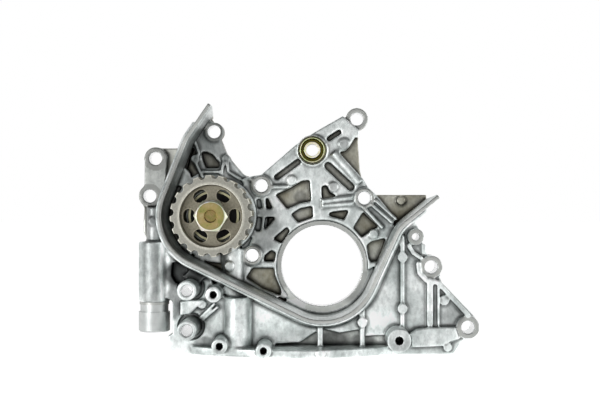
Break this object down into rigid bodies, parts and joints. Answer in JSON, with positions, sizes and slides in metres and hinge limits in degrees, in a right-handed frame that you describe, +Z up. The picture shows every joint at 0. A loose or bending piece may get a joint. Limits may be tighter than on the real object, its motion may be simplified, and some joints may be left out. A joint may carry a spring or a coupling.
{
  "type": "engine oil pump",
  "caption": "Belt-driven gerotor engine oil pump in a cast aluminium timing case, with a toothed pulley, crankshaft opening, relief valve and pan flange.",
  "frame": {"origin": "centre of the crankshaft bore on the rear gasket face", "axes": "+Z up, front and pulley towards -Y, +X to the right as seen from the front"},
  "size_m": [0.2616, 0.0595, 0.1886],
  "materials": {
    "cast_aluminium": "die-cast, satin, machined on faces",
    "sintered_steel": "sintered, matt",
    "yellow_zinc": "yellow zinc plated",
    "olive_zinc": "olive plated",
    "ground_steel": "ground",
    "bronze": "sintered bronze",
    "seal_rubber": "matt rubber",
    "plated_plug": "bright zinc plated",
    "washer_aluminium": "soft aluminium"
  },
  "bodies": {
    "case": {"timing_case": "cast_aluminium", "front_bush": "bronze", "rear_bush": "bronze", "seal_case": "olive_zinc", "seal_lip": "seal_rubber", "seal_spring": "ground_steel", "pump_cover": "ground_steel", "cover_screws": "ground_steel", "cover_dowels": "ground_steel", "cover_seal_ring": "seal_rubber", "relief_plug": "plated_plug", "relief_washer": "washer_aluminium", "relief_spring": "ground_steel", "idler_collar": "yellow_zinc"},
    "pump_drive": {"pump_shaft": "ground_steel", "pump_pulley": "sintered_steel", "pulley_bolt": "yellow_zinc", "pulley_key": "ground_steel", "rotor_key": "ground_steel", "drive_rotor": "sintered_steel"},
    "driven": {"driven_rotor": "sintered_steel"},
    "relief": {"relief_plunger": "ground_steel"}
  },
  "joints": [
    {"name": "pump_spin", "type": "hinge", "parent": "case", "child": "pump_drive", "pos_m": [-0.0815, -0.025, 0.0385], "axis": [0, -1, 0], "continuous": true},
    {"name": "driven_rotor_spin", "type": "hinge", "parent": "case", "child": "driven", "pos_m": [-0.0785, -0.013, 0.0385], "axis": [0, -1, 0], "continuous": true},
    {"name": "relief_slide", "type": "slide", "parent": "case", "child": "relief", "axis": [0, 0, -1], "range_m": [0, 0.009], "stiffness_N_per_m": 1000, "springref_m": -0.004, "deforming": ["relief_spring"]}
  ],
  "couplings": [
    {"joint": "driven_rotor_spin", "follows": "pump_spin", "ratio": 0.8}
  ]
}
